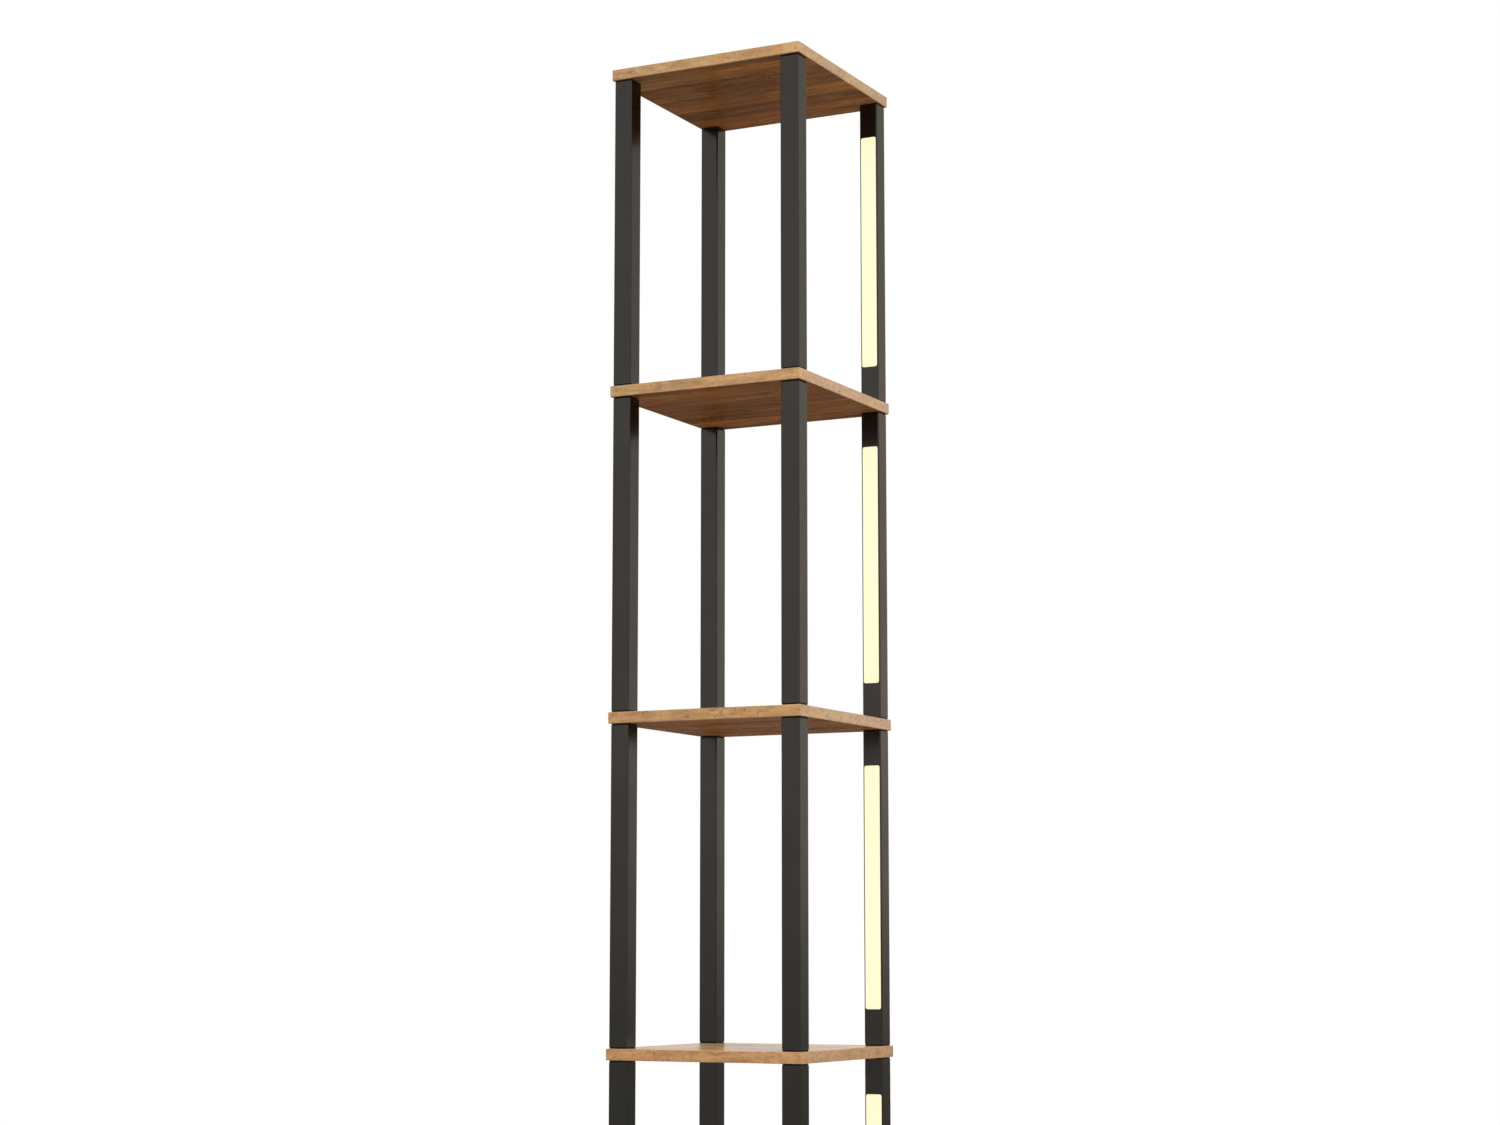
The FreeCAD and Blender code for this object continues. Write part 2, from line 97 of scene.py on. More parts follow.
# Posts
POST_CORNER_ROUND = 0.0020
POST_CORNER_STEPS = 6
POST_WALL = 0.0015
POST_RIM_ROUND = 0.0006
POST_RIM_STEPS = 2
POST_RIM_ANGLE = math.radians(60)
WINDOW_CORNER_ROUND = 0.0030
WINDOW_CORNER_STEPS = 8
WINDOW_GAP = 0.00015
PANEL_TAB = 0.006

# Feet; a thread's half width is a share of its pitch, and it is sunk by a share of its depth
FOOT_HEIGHT = 0.008
FOOT_BEVEL = 0.002
FOOT_LOWER_ROUND = 0.001
FOOT_HOLLOW = 0.0006
FOOT_HOLLOW_RIM = 0.003
FOOT_COLLAR = 0.0065
FOOT_DISH = 0.0004
STEM_RADIUS = 0.004
THREAD_PITCH = 0.00125
THREAD_DEPTH = 0.0007
THREAD_HALF_WIDTH = 0.45
THREAD_SUNK = 0.25
THREAD_STEPS = 20

# Nuts on the feet
NUT_BORE = 0.0081
NUT_CHAMFER = 0.0009
NUT_FACE_SHARE = 0.95
NUT_CORNER_CLEAR = 1.02

# Power inlet
INLET_HOLE = 0.0112
INLET_RIM = 0.014
INLET_RIM_RISE = 0.0015
INLET_BARREL = 0.011
INLET_DEPTH = 0.0105
INLET_BORE = 0.0064
INLET_BORE_DEPTH = 0.009
INLET_PIN = 0.002
INLET_PIN_LENGTH = 0.0075
INLET_ROUND = 0.0004

# Turned pieces; the shares place points on a small round, from the corner that it takes off
LATHE_STEPS = 64
ROUND_MIDDLE = 0.3
ROUND_NEAR = 0.15
ROUND_FAR = 0.5
SAME_PLACE = 1e-6
FACING_BACK = Matrix.Rotation(-math.pi / 2, 4, "X")


# Nodes


def connect(tree, made, inputs):
    """Sets a node's inputs to values, or links them to sockets."""
    for name, given in inputs.items():
        if isinstance(given, bpy.types.NodeSocket):
            tree.links.new(given, made.inputs[name])
        else:
            made.inputs[name].default_value = given


def add(tree, kind, inputs=None, **settings):
    """A new node, with its settings and its inputs."""
    made = tree.nodes.new(kind)
    for name, setting in settings.items():
        setattr(made, name, setting)
    connect(tree, made, inputs or {})
    return made


def calc(tree, operation, *terms):
    """The result of a Math node on up to three terms."""
    return add(tree, "ShaderNodeMath", dict(enumerate(terms)), operation=operation).outputs[0]


def times(tree, first, second):
    return calc(tree, "MULTIPLY", first, second)


def plus(tree, base, amount, share):
    """The base, with a share of an amount added."""
    return calc(tree, "MULTIPLY_ADD", amount, share, base)


def mixed(tree, mask, first, second):
    """A number that goes from the first to the second as a mask fills."""
    return plus(tree, first, calc(tree, "SUBTRACT", second, first), mask)


def vector_calc(tree, operation, first, second):
    """The result of a Vector Math node, a number for a dot product and otherwise a vector."""
    made = add(tree, "ShaderNodeVectorMath", {0: first, 1: second}, operation=operation)
    return made.outputs["Value" if operation == "DOT_PRODUCT" else "Vector"]


def span(tree, amount, low, high, to_low=0.0, to_high=1.0):
    """The amount, taken from one range smoothly to another and held at the ends."""
    inputs = {"Value": amount, "From Min": low, "From Max": high, "To Min": to_low, "To Max": to_high}
    return add(tree, "ShaderNodeMapRange", inputs, interpolation_type="SMOOTHSTEP").outputs[0]


def blend(tree, factor, first, second):
    """Two colours mixed by a factor."""
    return add(tree, "ShaderNodeMix", {0: factor, 6: first, 7: second}, data_type="RGBA").outputs[2]


def join(tree, x, y, z):
    return add(tree, "ShaderNodeCombineXYZ", {"X": x, "Y": y, "Z": z}).outputs[0]


def split(tree, vector):
    return add(tree, "ShaderNodeSeparateXYZ", {0: vector}).outputs


def noise(tree, vector, scale, detail=2.0, roughness=0.5, distortion=0.0):
    inputs = {
        "Vector": vector,
        "Scale": scale,
        "Detail": detail,
        "Roughness": roughness,
        "Distortion": distortion,
    }
    return add(tree, "ShaderNodeTexNoise", inputs).outputs["Fac"]


def random_of(tree, vector):
    """A random number and a random colour for each whole-numbered place."""
    return add(tree, "ShaderNodeTexWhiteNoise", {"Vector": vector}).outputs


def bump(tree, height, distance, strength):
    inputs = {"Height": height, "Distance": distance, "Strength": strength}
    return add(tree, "ShaderNodeBump", inputs).outputs[0]


def object_place(tree):
    return add(tree, "ShaderNodeTexCoord").outputs["Object"]


def new_group(name, inputs, outputs):
    """An empty shader group; inputs and outputs map a socket's name to its kind and default."""
    group = bpy.data.node_groups.new(name, "ShaderNodeTree")
    for in_out, sockets in (("INPUT", inputs), ("OUTPUT", outputs)):
        for label, (kind, default) in sockets.items():
            socket = group.interface.new_socket(label, in_out=in_out, socket_type=f"NodeSocket{kind}")
            if default is not None:
                socket.default_value = default
    return group, group.nodes.new("NodeGroupInput").outputs, group.nodes.new("NodeGroupOutput").inputs


def place_group(tree, group, inputs):
    """A group placed in a material, with its own values."""
    return add(tree, "ShaderNodeGroup", inputs, node_tree=group).outputs


def new_material(name, **constants):
    """A material with a Principled shader; constants are values of the shader's own sockets."""
    material = bpy.data.materials.new(name)
    material.use_nodes = True
    tree = material.node_tree
    shader = tree.nodes["Principled BSDF"]
    for label, constant in constants.items():
        shader.inputs[label.replace("_", " ")].default_value = constant
    return material, tree, shader.inputs


# Oak


class Grain(NamedTuple):
    """Noise stretched along and across the grain, and the levels where its mask starts and is full."""

    lengthwise: float
    crosswise: float
    detail: float = 2.0
    roughness: float = 0.5
    distortion: float = 0.0
    start: float = 0.0
    full: float = 1.0


FLOW = Grain(2.4, 17.0, roughness=0.45, distortion=0.4)
STREAK = Grain(7.0, 130.0, detail=4.0, roughness=0.6)
FIBRE = Grain(36.0, 1100.0)
BAND = Grain(5.0, 62.0, detail=3.0, roughness=0.6, start=0.68, full=0.32)
DASH = Grain(26.0, 230.0, detail=3.0, roughness=0.6, start=0.52, full=0.66)
PATCH = Grain(13.0, 26.0, start=0.50, full=0.70)
CLUSTER = Grain(14.0, 14.0, start=0.45, full=0.62)
FLECK = Grain(88.0, 360.0, detail=3.0, roughness=0.6, start=0.62, full=0.76)
SPECK = Grain(60.0, 330.0, detail=3.0, roughness=0.6, start=0.47, full=0.64)
PORE = Grain(95.0, 1500.0, detail=1.0, start=0.60, full=0.72)
RINGS = 62.0
CLUSTERING = 0.09

# How far each layer of the grain darkens the wood
RING_DEPTH = 0.28
STREAK_DEPTH = 1.05
FIBRE_DEPTH = 0.40
DEPTH_LEVEL = 0.475
MIDDLE_TONES = (0.05, 0.55)
DARK_TONES = (0.40, 0.85)

# How much of its colour each layer of the grain gives
END_SHARE = 0.55
RED_SHARE = 0.12
RED_SHARE_MORE = 0.30
RED_NEAR_ENDS = (0.06, 0.14)
SPECK_SHARE = 0.70
DASH_SHARE = 0.38
PORE_SHARE = 0.25
GLUE_SHARE = 0.30
FLECK_SHARE = 0.82

# Staves, and the mottling that shortens the grain on the edge bands
STAVE_WIDTH = 0.043
STAVE_SHORTEST = 0.17
STAVE_SPREAD = 0.16
STAVE_SEED = 17.0
STAVE_SHIFT = (9.0, 9.0, 9.0)
GLUE_LINE = 0.0012
GLUE_CORE = 0.3
FRONT_MOTTLING = 2.2
END_MOTTLING = 4.0
END_FACING = 0.7
FLAT_FACING = 0.5

# How much the tone differs from row to row, stave to stave and band to band
ROW_TONES = 0.50
STAVE_TONES = 0.22
BAND_TONES = 0.42
EDGE_TONES = 0.25
EDGE_LIFT = 0.045
HUE_SPREAD = 0.012
SATURATION_SPREAD = 0.11

OAK_LIGHT = (0.50, 0.308, 0.134, 1)
OAK_MIDDLE = (0.41, 0.240, 0.098, 1)
OAK_DARK = (0.235, 0.116, 0.040, 1)
OAK_RED = (0.375, 0.190, 0.072, 1)
OAK_PORE = (0.105, 0.046, 0.016, 1)
OAK_END = (0.425, 0.282, 0.164, 1)

OAK_ROUGH = 0.19
OAK_ROUGH_SPREAD = 0.10
FIBRE_RISE = 0.4
OAK_RELIEF = 0.00015
OAK_BUMP = 0.5
# Painted shade: how far in from a board's rounded rims a darker line is painted, and how dark it is
PAINTED_RIM_SHADE_REACH = 0.0020
PAINTED_RIM_SHADE_SHARE = 0.70


def near_joint(tree, counted, size):
    """A mask of the thin lines where a count of rows or staves of a size goes from one to the next."""
    from_middle = calc(tree, "ABSOLUTE", calc(tree, "SUBTRACT", calc(tree, "FRACT", counted), 0.5))
    line = GLUE_LINE / size
    return span(tree, from_middle, 0.5 - line, 0.5 - GLUE_CORE * line)


def lay_out_staves(tree, given):
    """Where a point is along and across the grain, on which kind of face, and in which stave."""
    x, y, z = split(tree, given["Place"])
    facing_x, _, facing_z = split(tree, given["Facing"])
    end_face = calc(tree, "GREATER_THAN", calc(tree, "ABSOLUTE", facing_x), END_FACING)
    flat_face = calc(tree, "GREATER_THAN", calc(tree, "ABSOLUTE", facing_z), FLAT_FACING)
    along = mixed(tree, end_face, x, y)
    across = mixed(tree, end_face, y, x)
    board = calc(tree, "FLOOR", calc(tree, "DIVIDE", z, given["Board Pitch"]))
    in_rows = calc(tree, "DIVIDE", across, STAVE_WIDTH)
    row = times(tree, calc(tree, "FLOOR", in_rows), flat_face)
    row_chance = random_of(tree, join(tree, row, board, end_face))["Value"]
    length = plus(tree, STAVE_SHORTEST, row_chance, STAVE_SPREAD)
    in_staves = calc(tree, "DIVIDE", calc(tree, "ADD", along, row_chance), length)
    stave = times(tree, calc(tree, "FLOOR", in_staves), flat_face)
    row_joint = near_joint(tree, in_rows, STAVE_WIDTH)
    butt_joint = near_joint(tree, in_staves, STAVE_SHORTEST + STAVE_SPREAD / 2)
    seed = calc(tree, "ADD", board, STAVE_SEED)
    chance, chances = random_of(tree, join(tree, row, stave, seed))
    return SimpleNamespace(
        along=along,
        across=across,
        z=z,
        end_face=end_face,
        flat_face=flat_face,
        edge_face=calc(tree, "SUBTRACT", 1.0, flat_face),
        glue_line=times(tree, calc(tree, "MAXIMUM", row_joint, butt_joint), flat_face),
        row_chance=row_chance,
        chance=chance,
        chances=chances,
    )


def draw_grain(tree, staves):
    """The layers of the grain, each with a place of its own in every stave."""
    shift = vector_calc(tree, "MULTIPLY", staves.chances, STAVE_SHIFT)
    shorter = plus(tree, 1.0, staves.edge_face, FRONT_MOTTLING - 1.0)
    shorter = plus(tree, shorter, staves.end_face, END_MOTTLING - FRONT_MOTTLING)
    shortened = times(tree, staves.along, shorter)

    def drawn(grain):
        stretched = join(
            tree,
            times(tree, shortened, grain.lengthwise),
            times(tree, staves.across, grain.crosswise),
            times(tree, staves.z, grain.crosswise),
        )
        place = vector_calc(tree, "ADD", stretched, shift)
        return noise(tree, place, 1.0, grain.detail, grain.roughness, grain.distortion)

    def mask(grain):
        return span(tree, drawn(grain), grain.start, grain.full)

    ring = plus(tree, 0.5, calc(tree, "SINE", times(tree, drawn(FLOW), RINGS)), 0.5)
    fibre = drawn(FIBRE)
    depth = plus(tree, times(tree, drawn(STREAK), STREAK_DEPTH), ring, RING_DEPTH)
    depth = plus(tree, calc(tree, "SUBTRACT", depth, DEPTH_LEVEL), fibre, FIBRE_DEPTH)
    clustered = plus(tree, drawn(FLECK), mask(CLUSTER), CLUSTERING)
    return SimpleNamespace(
        depth=depth,
        fibre=fibre,
        band=mask(BAND),
        dash=mask(DASH),
        patch=mask(PATCH),
        fleck=span(tree, clustered, FLECK.start, FLECK.full),
        speck=mask(SPECK),
        pore=mask(PORE),
    )


def colour_grain(tree, staves, grain):
    """The wood's colour before each stave gets its own tone."""
    colour = blend(tree, span(tree, grain.depth, *MIDDLE_TONES), OAK_LIGHT, OAK_MIDDLE)
    colour = blend(tree, span(tree, grain.depth, *DARK_TONES), colour, OAK_DARK)
    colour = blend(tree, times(tree, staves.end_face, END_SHARE), colour, OAK_END)
    near_ends = span(tree, calc(tree, "ABSOLUTE", staves.along), *RED_NEAR_ENDS)
    redder = calc(tree, "MAXIMUM", staves.flat_face, near_ends)
    reddening = plus(tree, RED_SHARE, redder, RED_SHARE_MORE)
    colour = blend(tree, times(tree, grain.patch, reddening), colour, OAK_RED)
    specks = times(tree, grain.speck, times(tree, staves.edge_face, SPECK_SHARE))
    colour = blend(tree, specks, colour, OAK_RED)
    dark = plus(tree, times(tree, grain.pore, PORE_SHARE), grain.dash, DASH_SHARE)
    dark = plus(tree, dark, staves.glue_line, GLUE_SHARE)
    colour = blend(tree, dark, colour, OAK_DARK)
    return blend(tree, times(tree, grain.fleck, FLECK_SHARE), colour, OAK_PORE)


def tone_staves(tree, staves, grain, colour):
    """The colour, with a tone for each row, stave and band, which differ less on the edges."""
    unlike = plus(tree, EDGE_TONES, staves.flat_face, 1.0 - EDGE_TONES)

    def varied(usual, spread, by_chance):
        share = times(tree, unlike, spread)
        return plus(tree, usual, calc(tree, "SUBTRACT", by_chance, 0.5), share)

    lifted = plus(tree, 1.0, staves.edge_face, EDGE_LIFT)
    row_tone = varied(lifted, ROW_TONES, staves.row_chance)
    stave_tone = times(tree, row_tone, varied(1.0, STAVE_TONES, staves.chance))
    _, hue_chance, saturation_chance = split(tree, staves.chances)
    inputs = {
        "Hue": varied(0.5, HUE_SPREAD, hue_chance),
        "Saturation": varied(1.0, SATURATION_SPREAD, saturation_chance),
        "Value": times(tree, stave_tone, varied(1.0, BAND_TONES, grain.band)),
        "Color": colour,
    }
    return add(tree, "ShaderNodeHueSaturation", inputs).outputs[0]


def make_oak_staves():
    """Oak with glued staves on the flats and plain bands on the edges."""
    tree, given, result = new_group(
        "oak_staves",
        {"Place": ("Vector", None), "Facing": ("Vector", None), "Board Pitch": ("Float", None)},
        {"Color": ("Color", None), "Roughness": ("Float", None), "Height": ("Float", None)},
    )
    staves = lay_out_staves(tree, given)
    grain = draw_grain(tree, staves)
    colour = tone_staves(tree, staves, grain, colour_grain(tree, staves, grain))
    sunk = calc(tree, "MAXIMUM", grain.fleck, grain.pore)
    height = calc(tree, "SUBTRACT", times(tree, grain.fibre, FIBRE_RISE), sunk)
    tree.links.new(colour, result["Color"])
    tree.links.new(plus(tree, OAK_ROUGH, grain.depth, OAK_ROUGH_SPREAD), result["Roughness"])
    tree.links.new(height, result["Height"])
    return tree


# Finishes


RIM_REACH = 0.001
RIM_SAMPLES = 4
RIM_TURN = (0.99, 0.80)
RIM_BREAKUP = 60.0
RIM_BROKEN = (0.35, 0.65)

CLOUD_SCALE = 9.0
CLOUD_ROUGHNESS = 0.6
SKIN_SCALE = 900.0
SKIN_ROUGHNESS = 0.55

COAT_CLOUD = (0.35, 0.65)
COAT_GLOSS_CLOUD = (0.3, 0.7)
COAT_GLOSS_SPREAD = 0.03
COAT_SKIN_GLOSS = 0.06
COAT_RUBBED = 0.5
COAT_BUMP = 0.6
EDGE_ON = (0.70, 0.88)
EDGE_ON_GLOSS = 0.08

METAL_CLOUD_SCALE = 60.0
METAL_SKIN_GLOSS = 0.2
METAL_RELIEF = 0.00003
METAL_BUMP = 0.5

PANEL_UNLIT = (0.05, 0.048, 0.04, 1)
PANEL_GLOW = (0.995, 0.915, 0.607, 1)
PANEL_GLOW_END = (1.0, 0.900, 0.578, 1)
PANEL_END = (0.33, 0.38)
PANEL_CLOUD_SCALE = 26.0
PANEL_CLOUD_SHARE = 0.04
PANEL_ROUGH = 0.35
PANEL_ROUGH_SPREAD = 0.1


def make_rims():
    """A mask of the rims of a piece, whole and as broken up by rubbing."""
    tree, given, result = new_group(
        "rims",
        {"Place": ("Vector", None), "Reach": ("Float", RIM_REACH), "Breakup": ("Float", RIM_BREAKUP)},
        {"Whole": ("Float", None), "Rubbed": ("Float", None)},
    )
    rounded = add(tree, "ShaderNodeBevel", {"Radius": given["Reach"]}, samples=RIM_SAMPLES).outputs[0]
    surface = add(tree, "ShaderNodeNewGeometry").outputs["Normal"]
    whole = span(tree, vector_calc(tree, "DOT_PRODUCT", rounded, surface), *RIM_TURN)
    broken = span(tree, noise(tree, given["Place"], given["Breakup"], detail=3.0), *RIM_BROKEN)
    tree.links.new(whole, result["Whole"])
    tree.links.new(times(tree, whole, broken), result["Rubbed"])
    return tree


def make_mottle():
    """Slow cloudiness and a fine skin, as on sprayed powder, moulded nylon and plated metal."""
    tree, given, result = new_group(
        "mottle",
        {
            "Place": ("Vector", None),
            "Cloud Scale": ("Float", CLOUD_SCALE),
            "Skin Scale": ("Float", SKIN_SCALE),
        },
        {"Cloud": ("Float", None), "Skin": ("Float", None)},
    )
    cloud = noise(tree, given["Place"], given["Cloud Scale"], detail=3.0, roughness=CLOUD_ROUGHNESS)
    skin = noise(tree, given["Place"], given["Skin Scale"], roughness=SKIN_ROUGHNESS)
    tree.links.new(cloud, result["Cloud"])
    tree.links.new(skin, result["Skin"])
    return tree


oak_staves = make_oak_staves()
rims = make_rims()
mottle = make_mottle()


def make_oak():
    """Satin lacquered oak, with painted shade as a darker line along the rounded rims where the faces meet
    the edge bands.
    """
    material, tree, shader = new_material("oak_board")
    coordinates = add(tree, "ShaderNodeTexCoord").outputs
    place = coordinates["Object"]
    inputs = {"Place": place, "Facing": coordinates["Normal"], "Board Pitch": board_pitch}
    wood = place_group(tree, oak_staves, inputs)
    # Painted shade: a darker line along every rounded rim of the board, standing in for the shade on its
    # eased edges
    painted_rim_shade = place_group(tree, rims, {"Place": place, "Reach": PAINTED_RIM_SHADE_REACH})["Whole"]
    colour = blend(tree, times(tree, painted_rim_shade, PAINTED_RIM_SHADE_SHARE), wood["Color"], OAK_DARK)
    tree.links.new(colour, shader["Base Color"])
    tree.links.new(wood["Roughness"], shader["Roughness"])
    tree.links.new(bump(tree, wood["Height"], OAK_RELIEF, OAK_BUMP), shader["Normal"])
    return material


def make_coated(name, colour, cloudy, worn, rough, skin_scale, skin_depth, **constants):
    """A coated or moulded surface: cloudy colour, uneven gloss, a fine skin and rubbed rims."""
    material, tree, shader = new_material(name, **constants)
    place = object_place(tree)
    made = place_group(tree, mottle, {"Place": place, "Skin Scale": skin_scale})
    rubbed = place_group(tree, rims, {"Place": place})["Rubbed"]
    base = blend(tree, span(tree, made["Cloud"], *COAT_CLOUD), colour, cloudy)
    base = blend(tree, times(tree, rubbed, COAT_RUBBED), base, worn)
    smoothest, roughest = rough - COAT_GLOSS_SPREAD, rough + COAT_GLOSS_SPREAD
    gloss = span(tree, made["Cloud"], *COAT_GLOSS_CLOUD, smoothest, roughest)
    gloss = plus(tree, gloss, calc(tree, "SUBTRACT", made["Skin"], 0.5), COAT_SKIN_GLOSS)
    tree.links.new(base, shader["Base Color"])
    tree.links.new(gloss, shader["Roughness"])
    tree.links.new(bump(tree, made["Skin"], skin_depth, COAT_BUMP), shader["Normal"])
    return material


def dull_edge_on(material):
    """Takes the gloss from a coat where it is seen nearly edge-on, as the grain of a powder does."""
    tree = material.node_tree
    edge_on = add(tree, "ShaderNodeLayerWeight", {"Blend": 0.5}).outputs["Facing"]
    glossy = span(tree, edge_on, *EDGE_ON, 1.0, EDGE_ON_GLOSS)
    tree.links.new(glossy, tree.nodes["Principled BSDF"].inputs["Metallic"])


def make_metal(name, colour, cloudy, rough, skin_scale):
    """Bare or plated metal."""
    material, tree, shader = new_material(name, Metallic=1.0)
    inputs = {"Place": object_place(tree), "Cloud Scale": METAL_CLOUD_SCALE, "Skin Scale": skin_scale}
    made = place_group(tree, mottle, inputs)
    tree.links.new(blend(tree, made["Cloud"], colour, cloudy), shader["Base Color"])
    tree.links.new(plus(tree, rough, made["Skin"], METAL_SKIN_GLOSS), shader["Roughness"])
    tree.links.new(bump(tree, made["Skin"], METAL_RELIEF, METAL_BUMP), shader["Normal"])
    return material


def make_panel_glow():
    """A milky acrylic panel, lit from behind and a little warmer at its ends."""
    material, tree, shader = new_material(
        "milky_acrylic", Base_Color=PANEL_UNLIT, Emission_Strength=1.0
    )
    place = object_place(tree)
    made = place_group(tree, mottle, {"Place": place, "Cloud Scale": PANEL_CLOUD_SCALE})
    above_board = calc(tree, "SUBTRACT", split(tree, place)[2], shelf_high.z)
    in_section = calc(tree, "FRACT", calc(tree, "DIVIDE", above_board, board_pitch))
    section_middle = (board_pitch - board_depth) / 2 / board_pitch
    from_middle = calc(tree, "ABSOLUTE", calc(tree, "SUBTRACT", in_section, section_middle))
    glow = blend(tree, span(tree, from_middle, *PANEL_END), PANEL_GLOW, PANEL_GLOW_END)
    glow = blend(tree, times(tree, made["Cloud"], PANEL_CLOUD_SHARE), glow, PANEL_GLOW_END)
    tree.links.new(glow, shader["Emission Color"])
    tree.links.new(plus(tree, PANEL_ROUGH, made["Skin"], PANEL_ROUGH_SPREAD), shader["Roughness"])
    return material


finishes = {
    "oak_board": make_oak(),
    "graphite_steel": make_coated(
        "graphite_steel",
        colour=(0.0570, 0.0525, 0.0470, 1),
        cloudy=(0.0540, 0.0495, 0.0443, 1),
        worn=(0.075, 0.068, 0.060, 1),
        rough=0.20,
        skin_scale=700.0,
        skin_depth=0.00002,
        Specular_IOR_Level=0.0,
        Specular_Tint=(1.0, 0.955, 0.87, 1),
    ),
    "blackened_steel": make_coated(
        "blackened_steel",
        colour=(0.006, 0.006, 0.006, 1),
        cloudy=(0.010, 0.009, 0.008, 1),
        worn=(0.03, 0.03, 0.03, 1),
        rough=0.6,
        skin_scale=1500.0,
        skin_depth=0.00003,
        Specular_IOR_Level=0.15,
    ),
    "foot_nylon": make_coated(
        "foot_nylon",
        colour=(0.011, 0.011, 0.011, 1),
        cloudy=(0.015, 0.015, 0.015, 1),
        worn=(0.04, 0.04, 0.04, 1),
        rough=0.52,
        skin_scale=2200.0,
        skin_depth=0.00005,
    ),
    "inlet_plastic": make_coated(
        "inlet_plastic",
        colour=(0.010, 0.010, 0.010, 1),
        cloudy=(0.013, 0.013, 0.013, 1),
        worn=(0.03, 0.03, 0.03, 1),
        rough=0.40,
        skin_scale=2600.0,
        skin_depth=0.00003,
    ),
    "lead_sheath": make_coated(
        "lead_sheath",
        colour=(0.010, 0.010, 0.010, 1),
        cloudy=(0.016, 0.016, 0.016, 1),
        worn=(0.03, 0.03, 0.03, 1),
        rough=0.55,
        skin_scale=1800.0,
        skin_depth=0.00003,
    ),
    "strip_white": make_coated(
        "strip_white",
        colour=(0.80, 0.80, 0.76, 1),
        cloudy=(0.74, 0.74, 0.70, 1),
        worn=(0.55, 0.50, 0.38, 1),
        rough=0.35,
        skin_scale=1200.0,
        skin_depth=0.00002,
    ),
    "plated_steel": make_metal(
        "plated_steel",
        colour=(0.62, 0.62, 0.60, 1),
        cloudy=(0.52, 0.53, 0.54, 1),
        rough=0.25,
        skin_scale=500.0,
    ),
    "insert_brass": make_metal(
        "insert_brass",
        colour=(0.72, 0.53, 0.22, 1),
        cloudy=(0.62, 0.44, 0.18, 1),
        rough=0.25,
        skin_scale=500.0,
    ),
    "channel_aluminium": make_metal(
        "channel_aluminium",
        colour=(0.80, 0.80, 0.79, 1),
        cloudy=(0.72, 0.72, 0.72, 1),
        rough=0.30,
        skin_scale=300.0,
    ),
    "milky_acrylic": make_panel_glow(),
}
dull_edge_on(finishes["graphite_steel"])
slot_of = {part["node"]: part["material_slot"] for part in frame["record"]["subparts"]}
for node, slot in slot_of.items():
    materials = nodes[node].data.materials
    materials.clear()
    materials.append(finishes[slot])


# Shapes


def soften(shape, geometry, offset, segments, affect="EDGES"):
    """Rounds edges, or corners in a flat outline."""
    bmesh.ops.bevel(
        shape,
        geom=geometry,
        offset=offset,
        affect=affect,
        segments=segments,
        profile=0.5,
        material=-1,
    )


def points_of(geometry):
    return [item for item in geometry if isinstance(item, bmesh.types.BMVert)]


def box_shape(low, high):
    shape = bmesh.new()
    middle, size = (low + high) / 2, high - low
    fit = Matrix.Translation(middle) @ Matrix.Diagonal((*size, 1))
    bmesh.ops.create_cube(shape, size=1.0, matrix=fit)
    return shape


def rod_shape(middle, radius, length, turn=Matrix()):
    """A round bar about its middle, upright unless it is turned."""
    shape = bmesh.new()
    bmesh.ops.create_cone(
        shape,
        cap_ends=True,
        segments=LATHE_STEPS,
        radius1=radius,
        radius2=radius,
        depth=length,
        matrix=Matrix.Translation(middle) @ turn,
    )
    return shape


def lathe_shape(outline):
    """A turned solid about Z, from an outline of radii and heights that starts and ends on the axis."""
    shape = bmesh.new()
    points = [shape.verts.new((radius, 0, height)) for radius, height in outline]
    edges = [shape.edges.new(pair) for pair in zip(points, points[1:])]
    bmesh.ops.spin(
        shape,
        geom=points + edges,
        cent=(0, 0, 0),
        axis=(0, 0, 1),
        angle=math.tau,
        steps=LATHE_STEPS,
        use_merge=True,
    )
    bmesh.ops.remove_doubles(shape, verts=shape.verts[:], dist=SAME_PLACE)
    bmesh.ops.recalc_face_normals(shape, faces=shape.faces[:])
    return shape


def tube_shape(low, high):
    """An upright square tube with rounded corners."""
    shape = bmesh.new()
    middle, size = (low + high) / 2, high - low
    fit = Matrix.Translation((middle.x, middle.y, low.z)) @ Matrix.Diagonal((size.x, size.y, 1, 1))
    bmesh.ops.create_grid(shape, x_segments=1, y_segments=1, size=0.5, matrix=fit)
    soften(shape, shape.verts[:], POST_CORNER_ROUND, POST_CORNER_STEPS, affect="VERTICES")
    hole = shape.faces[:]
    bmesh.ops.inset_region(
        shape, faces=hole, thickness=POST_WALL, use_boundary=True, use_even_offset=True
    )
    bmesh.ops.delete(shape, geom=hole, context="FACES")
    walls = bmesh.ops.extrude_face_region(shape, geom=shape.faces[:])["geom"]
    bmesh.ops.translate(shape, vec=(0, 0, size.z), verts=points_of(walls))
    bmesh.ops.recalc_face_normals(shape, faces=shape.faces[:])
    return shape


def window_shape(post_low, section):
    """The space of a light post's window, through its front wall."""
    panel_low, panel_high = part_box(f"diffuser_{section}")
    side = Vector((WINDOW_GAP, 0, 0))
    end = Vector((0, 0, PANEL_TAB))
    panel_low.y = post_low.y - POST_WALL
    panel_high.y = post_low.y + 2 * POST_WALL
    shape = box_shape(panel_low - side + end, panel_high + side - end)
    through = [edge for edge in shape.edges if edge.verts[0].co.y != edge.verts[1].co.y]
    soften(shape, through, WINDOW_CORNER_ROUND, WINDOW_CORNER_STEPS)
    return shape


